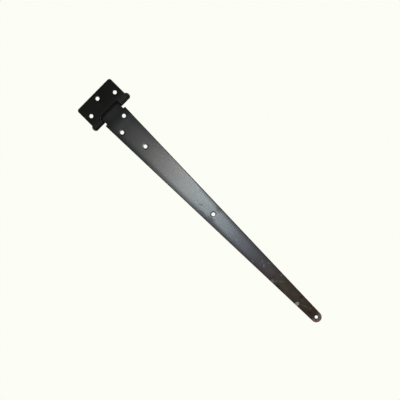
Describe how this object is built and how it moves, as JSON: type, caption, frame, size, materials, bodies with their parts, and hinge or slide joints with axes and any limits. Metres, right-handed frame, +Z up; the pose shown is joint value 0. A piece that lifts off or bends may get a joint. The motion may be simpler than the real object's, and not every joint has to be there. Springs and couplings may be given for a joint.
{
  "type": "tee hinge",
  "caption": "Tee hinge: a long tapered strap that turns on a riveted pin in the rolled knuckles of a short cross plate, black painted steel, with punched screw holes.",
  "frame": {"origin": "on the cross plate's fixing face, midway between its two outer screw holes", "axes": "+X along the strap towards its tip, +Z up along the pin, -Y out of both fixing faces and so towards the wood, +Y towards the rolled knuckles"},
  "size_m": [0.488, 0.0111, 0.0772],
  "materials": {
    "black_paint": "semi-gloss black paint, chipped and scuffed towards the strap's tip"
  },
  "bodies": {
    "plate": {"cross_plate": "black_paint", "hinge_pin": "black_paint"},
    "strap": {"strap": "black_paint"}
  },
  "joints": [
    {"name": "strap_swing", "type": "hinge", "parent": "plate", "child": "strap", "pos_m": [0.0165, 0.00555, 0], "axis": [0, 0, 1], "range_deg": [-82, 188]}
  ]
}
